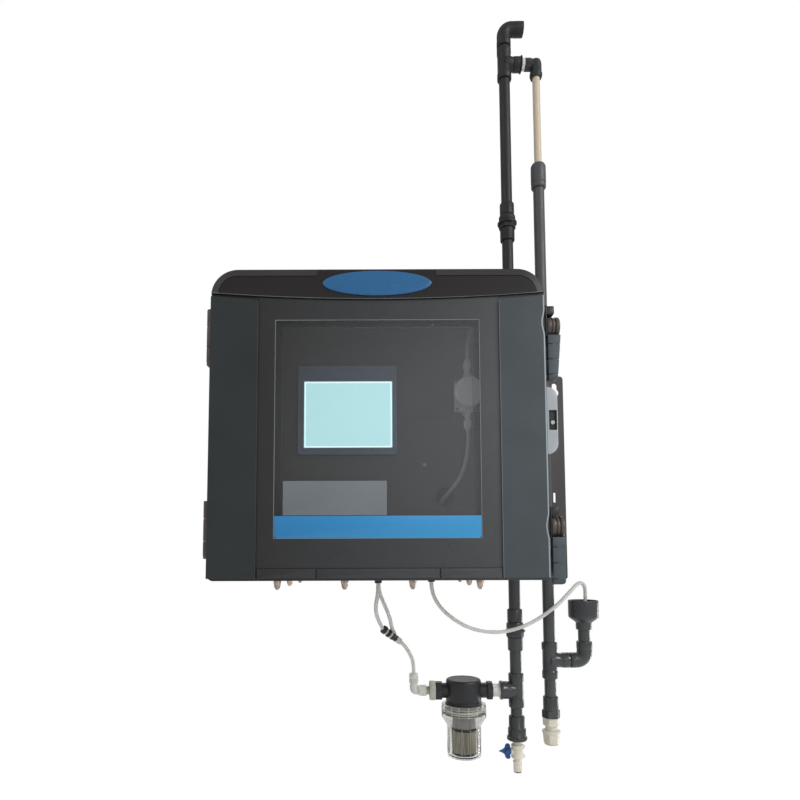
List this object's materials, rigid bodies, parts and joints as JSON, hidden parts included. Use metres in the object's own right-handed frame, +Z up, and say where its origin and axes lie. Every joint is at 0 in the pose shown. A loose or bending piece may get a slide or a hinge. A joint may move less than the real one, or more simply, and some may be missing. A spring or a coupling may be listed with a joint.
{
  "type": "online particle counter",
  "caption": "Wall-mounted online water particle counter: windowed cabinet with touch display and optical sensor, plus riser, overflow, strainer, valve and drain pipework.",
  "frame": {"origin": "on the wall face of the wall plate, behind the middle of the cabinet", "axes": "+Y into the wall, -Y is the door side, +Z up, +X to the right as seen from the front"},
  "size_m": [0.6186, 0.317, 1.3765],
  "materials": {
    "plate_paint": "matt powder coat",
    "cabinet_plastic": "fine moulded texture",
    "trim_slate": "satin",
    "hood_black": "gloss",
    "tinted_window": "clear tinted",
    "badge_blue": "gloss",
    "fitting_black": "satin",
    "steel": "plain",
    "seal_rubber": "matt",
    "panel_paint": "matt",
    "bezel_plastic": "satin",
    "screen": "lit panel",
    "board": "solder mask",
    "supply_case": "plain",
    "sensor_metal": "anodised",
    "clear_tube": "clear",
    "clamp_grey": "satin",
    "pipe_grey": "satin",
    "beige_tube": "satin",
    "white_plastic": "satin",
    "lever_blue": "satin",
    "clear_bowl": "clear"
  },
  "bodies": {
    "cabinet": {"wall_plate": "plate_paint", "cabinet_body": "cabinet_plastic", "hinge_body_leaves": "fitting_black", "latch_bases": "fitting_black", "bulkheads": "fitting_black", "filter_head": "fitting_black", "weir_fitting": "fitting_black", "hinge_pins": "steel", "gland_nuts": "steel", "wall_spacers": "steel", "panel_posts": "steel", "sensor_fittings": "steel", "filter_mesh": "steel", "gland_plate": "steel", "door_seal": "seal_rubber", "inner_panel": "panel_paint", "display_module": "bezel_plastic", "display_screen": "screen", "control_board": "board", "power_supply": "supply_case", "sensor_body": "sensor_metal", "sensor_cap": "sensor_metal", "sensor_tubes": "clear_tube", "sample_tube_left": "clear_tube", "sample_tube_right": "clear_tube", "sample_tube_lower": "clear_tube", "drain_hose": "clear_tube", "pipe_clamps": "clamp_grey", "filter_adapter": "clamp_grey", "vent_elbow": "pipe_grey", "overflow_tee": "pipe_grey", "drain_reducer": "pipe_grey", "riser_pipes": "pipe_grey", "union_ends": "pipe_grey", "sample_tee": "pipe_grey", "inlet_adapter": "pipe_grey", "drain_pipes": "pipe_grey", "drain_tee": "pipe_grey", "branch_elbow": "pipe_grey", "funnel": "pipe_grey", "drain_adapter": "pipe_grey", "overflow_tube": "beige_tube", "valve_body": "white_plastic", "drain_tail": "white_plastic", "elbow_fitting": "white_plastic", "y_connector": "white_plastic", "filter_nipple": "white_plastic"},
    "door": {"door_frame": "cabinet_plastic", "door_hood": "hood_black", "door_trim": "trim_slate", "window_pane": "tinted_window", "badge": "badge_blue", "hinge_door_leaves": "fitting_black"},
    "latch_upper": {"latch_lever_upper": "fitting_black"},
    "latch_lower": {"latch_lever_lower": "fitting_black"},
    "valve_handle": {"valve_lever": "lever_blue"},
    "nut_upper": {"union_nut_upper": "pipe_grey"},
    "nut_lower": {"union_nut_lower": "pipe_grey"},
    "outlet_nut": {"drain_nut": "white_plastic"},
    "strainer_bowl": {"filter_bowl": "clear_bowl"}
  },
  "joints": [
    {"name": "door_hinge", "type": "hinge", "parent": "cabinet", "child": "door", "pos_m": [-0.231, -0.29, 0], "axis": [0, 0, -1], "range_deg": [0, 110]},
    {"name": "latch_upper_pivot", "type": "hinge", "parent": "cabinet", "child": "latch_upper", "pos_m": [0.238, -0.293, 0.134], "axis": [-1, 0, 0], "range_deg": [0, 90]},
    {"name": "latch_lower_pivot", "type": "hinge", "parent": "cabinet", "child": "latch_lower", "pos_m": [0.238, -0.293, -0.14], "axis": [-1, 0, 0], "range_deg": [0, 90]},
    {"name": "valve_turn", "type": "hinge", "parent": "cabinet", "child": "valve_handle", "pos_m": [0.2237, -0.045, -0.51425], "axis": [1, 0, 0], "range_deg": [0, 90]},
    {"name": "union_upper_turn", "type": "hinge", "parent": "cabinet", "child": "nut_upper", "pos_m": [0.236, -0.045, 0.434], "axis": [0, 0, 1], "continuous": true},
    {"name": "union_lower_turn", "type": "hinge", "parent": "cabinet", "child": "nut_lower", "pos_m": [0.236, -0.045, -0.307], "axis": [0, 0, 1], "continuous": true},
    {"name": "outlet_nut_turn", "type": "hinge", "parent": "cabinet", "child": "outlet_nut", "pos_m": [0.2955, -0.045, -0.49], "axis": [0, 0, 1], "continuous": true},
    {"name": "bowl_turn", "type": "hinge", "parent": "cabinet", "child": "strainer_bowl", "pos_m": [0.1444, -0.045, -0.482], "axis": [0, 0, 1], "continuous": true}
  ]
}
